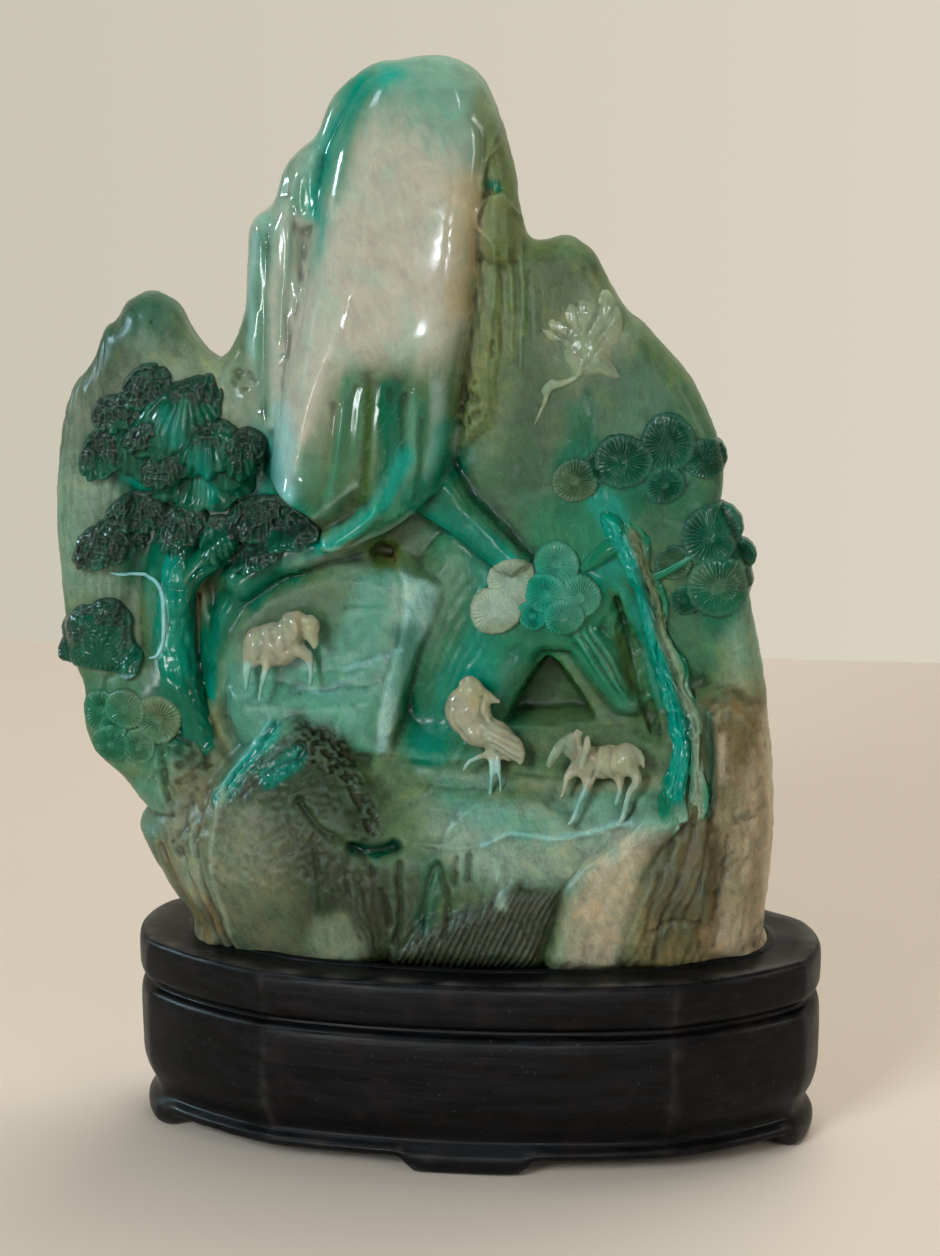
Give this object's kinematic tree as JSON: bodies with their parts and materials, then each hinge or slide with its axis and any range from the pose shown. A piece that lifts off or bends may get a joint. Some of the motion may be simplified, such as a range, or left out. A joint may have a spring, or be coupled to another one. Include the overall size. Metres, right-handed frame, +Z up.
{
  "type": "carved stone mountain on stand",
  "caption": "Jade boulder carved as a mountain with pines, caves, a crane and grazing animals, resting in a fitted oval hardwood stand.",
  "frame": {"origin": "on the ground, under the middle of the whole object's box, to within about a millimetre", "axes": "+Z up through the peak, -Y towards the carved front, +X along the stand to the viewer's right"},
  "size_m": [0.1675, 0.067, 0.2319],
  "materials": {
    "jade": "polished translucent stone, green and whitish with brown skin",
    "dark_hardwood": "dark satin hardwood"
  },
  "bodies": {
    "root": {"jade_mountain": "jade", "wood_stand": "dark_hardwood"}
  },
  "joints": []
}
